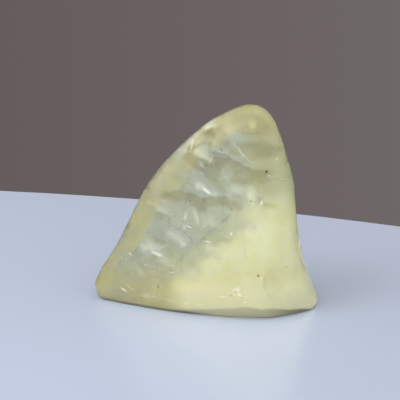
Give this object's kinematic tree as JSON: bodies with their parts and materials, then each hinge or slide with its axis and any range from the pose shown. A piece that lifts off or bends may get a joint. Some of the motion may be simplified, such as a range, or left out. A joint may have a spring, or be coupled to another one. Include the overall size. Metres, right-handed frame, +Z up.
{
  "type": "libyan desert glass",
  "caption": "Natural specimen of pale yellow desert glass: a leaning, blunt-topped fin with smooth front faces, a flaked back and a worn foot that it stands on.",
  "frame": {"origin": "on the surface it stands on, under the middle of its bounding box", "axes": "+X along its length, towards the end under its top; -Y towards the broad smooth front; +Z up"},
  "size_m": [0.0404, 0.0188, 0.0362],
  "materials": {
    "desert_glass": "wind-polished satin, clear to milky"
  },
  "bodies": {
    "root": {"desert_glass": "desert_glass"}
  },
  "joints": []
}
